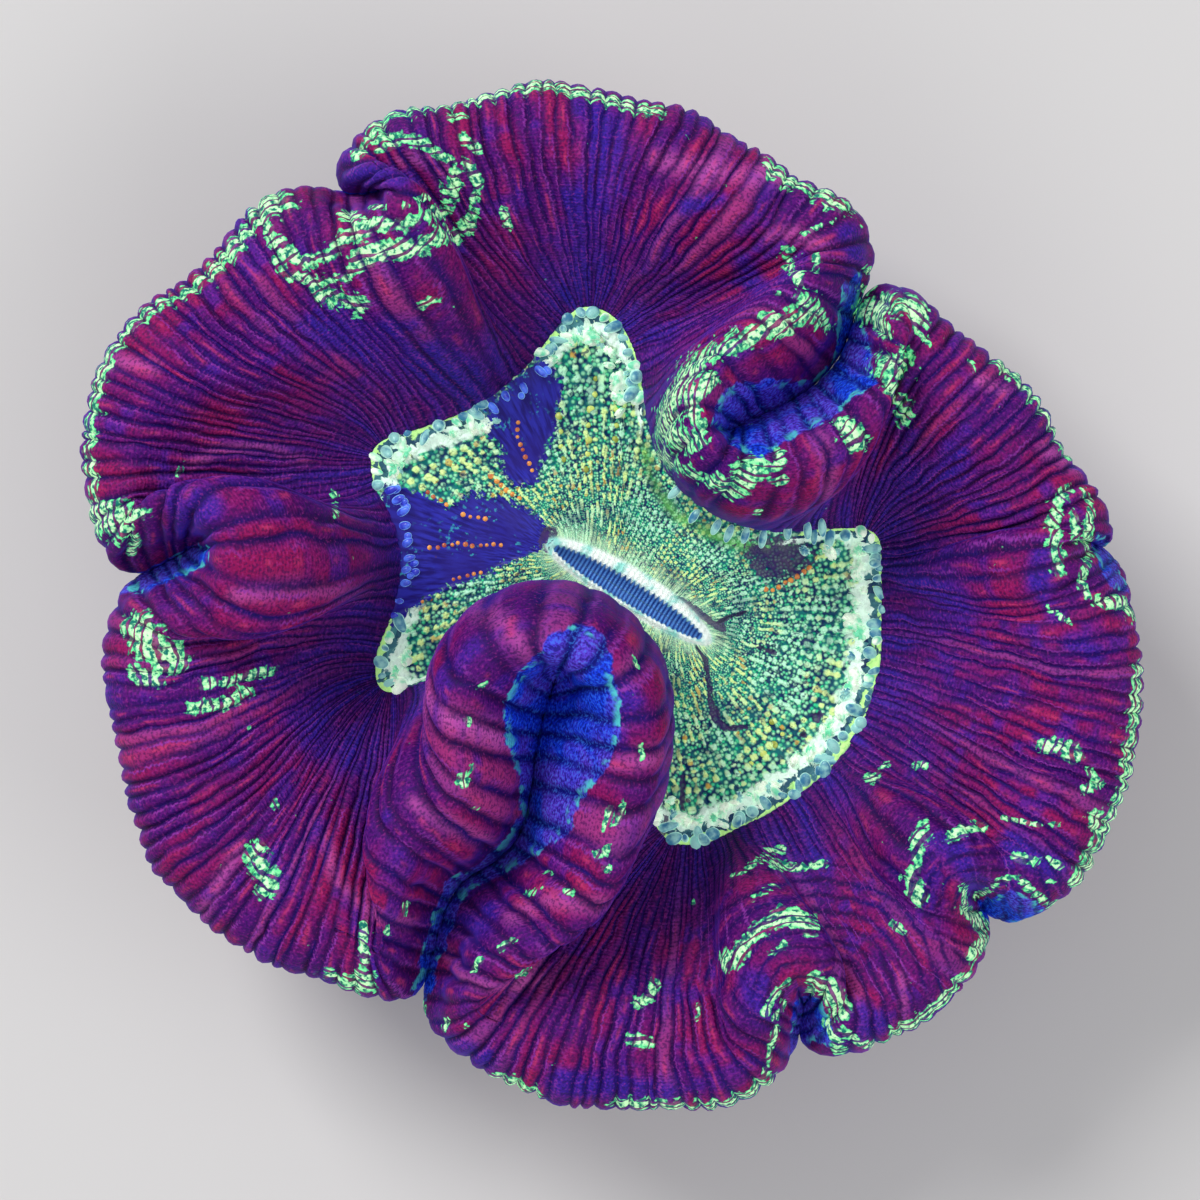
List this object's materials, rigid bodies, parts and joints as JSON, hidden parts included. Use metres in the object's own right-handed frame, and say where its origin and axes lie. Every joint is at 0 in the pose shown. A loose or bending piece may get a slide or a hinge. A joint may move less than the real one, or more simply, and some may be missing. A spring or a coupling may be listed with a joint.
{
  "type": "brain coral",
  "caption": "Open brain coral: one fleshy polyp with a deeply folded, ribbed ring of flesh round a star-shaped oral disc and slit mouth, cut flat underneath to rest on a surface.",
  "frame": {"origin": "centre of the bounding box, on the flat cut base", "axes": "+Z up out of the mouth, +X along the widest spread of the ring of flesh, so that the slit mouth runs from upper left to lower right seen from above with +Y up"},
  "size_m": [0.09, 0.0872, 0.0351],
  "materials": {
    "mantle": "matte, ribbed living flesh, red-magenta with fluorescent green patches and blue grooves",
    "oral_disc": "matte, beaded living flesh, fluorescent yellow-green over dark teal",
    "tentacles": "satin, slightly see-through living flesh, pale cyan-green"
  },
  "bodies": {
    "root": {"coral": "mantle"}
  },
  "joints": []
}
